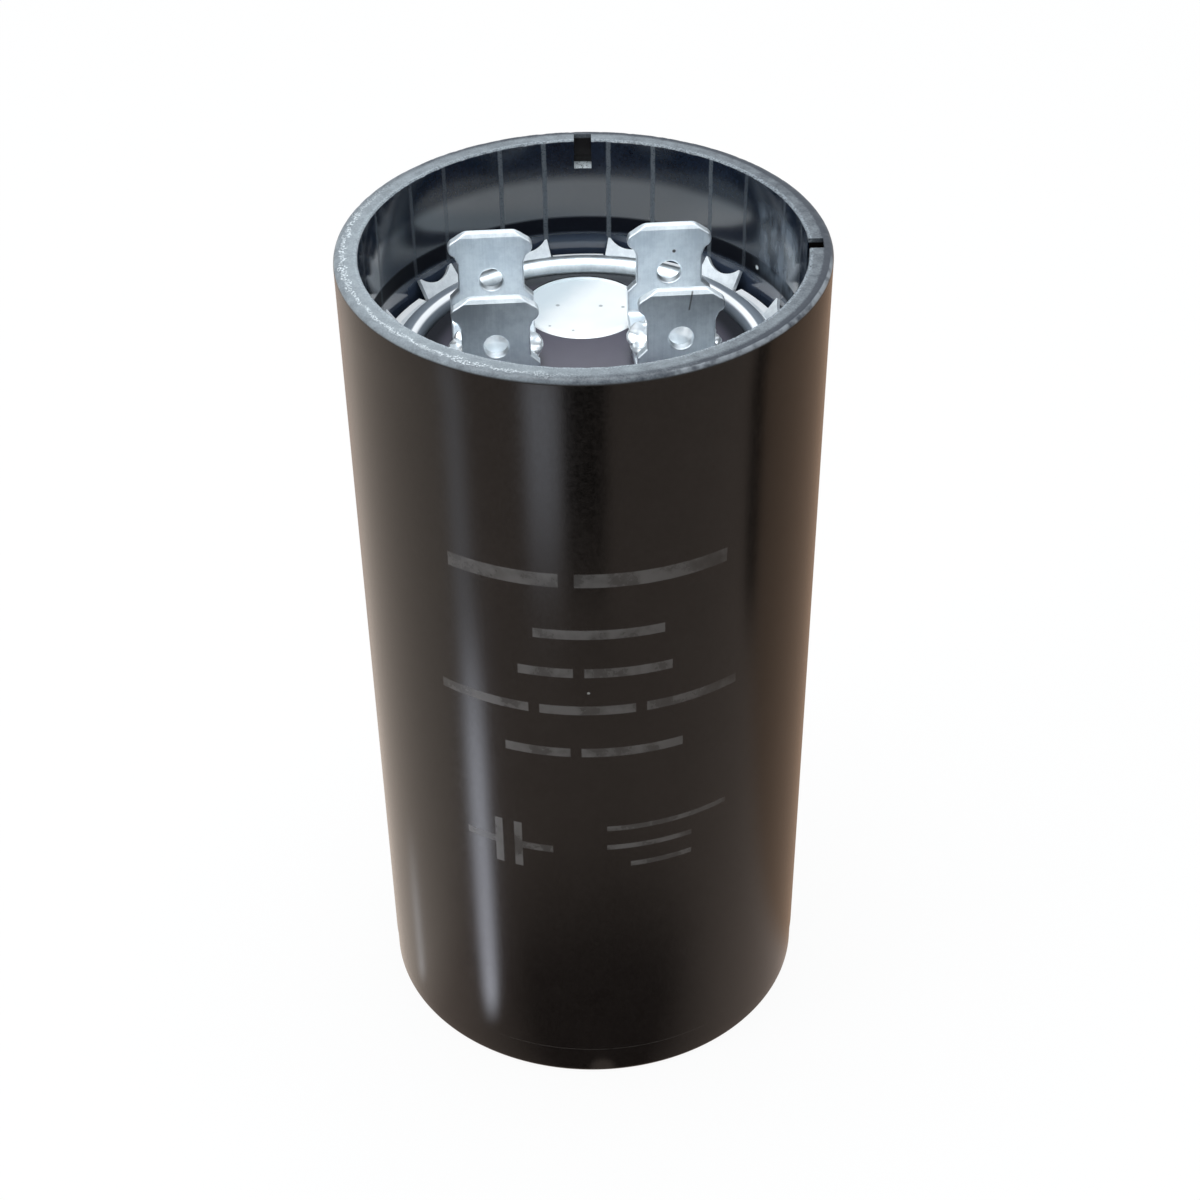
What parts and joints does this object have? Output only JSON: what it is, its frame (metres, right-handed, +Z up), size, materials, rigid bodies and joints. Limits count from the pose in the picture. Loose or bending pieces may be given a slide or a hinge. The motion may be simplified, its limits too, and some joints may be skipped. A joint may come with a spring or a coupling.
{
  "type": "motor start capacitor",
  "caption": "Dark moulded cylindrical start capacitor with an open terminal well: toothed retaining ring, rolled can mouth, vent disc and two riveted terminals with push-on blades.",
  "frame": {"origin": "centre of the base on the surface that the case stands on", "axes": "+Z up the case's axis toward the terminals, -Y toward the front of the picture, +X to its right"},
  "size_m": [0.0364, 0.0364, 0.0698],
  "materials": {
    "case": "glossy brown-black phenolic moulding, scuffed pale on the rim",
    "can": "bright drawn sheet",
    "winding": "foil and soaked paper wound tight",
    "lead": "soft bright strip",
    "cover": "brown-grey phenolic, matt",
    "gasket": "matt black",
    "vent": "bright satin disc",
    "terminal": "tin-plated sheet with fine vertical drawing lines",
    "rivet": "bright, crumpled by swaging",
    "ring": "bright zinc plate"
  },
  "bodies": {
    "root": {"outer_case": "case", "inner_can": "can", "winding": "winding", "lead_left": "lead", "lead_right": "lead", "cover": "cover", "gasket": "gasket", "vent_disc": "vent", "terminal_left": "terminal", "terminal_right": "terminal", "rivet_left": "rivet", "rivet_right": "rivet", "retaining_ring": "ring"}
  },
  "joints": []
}
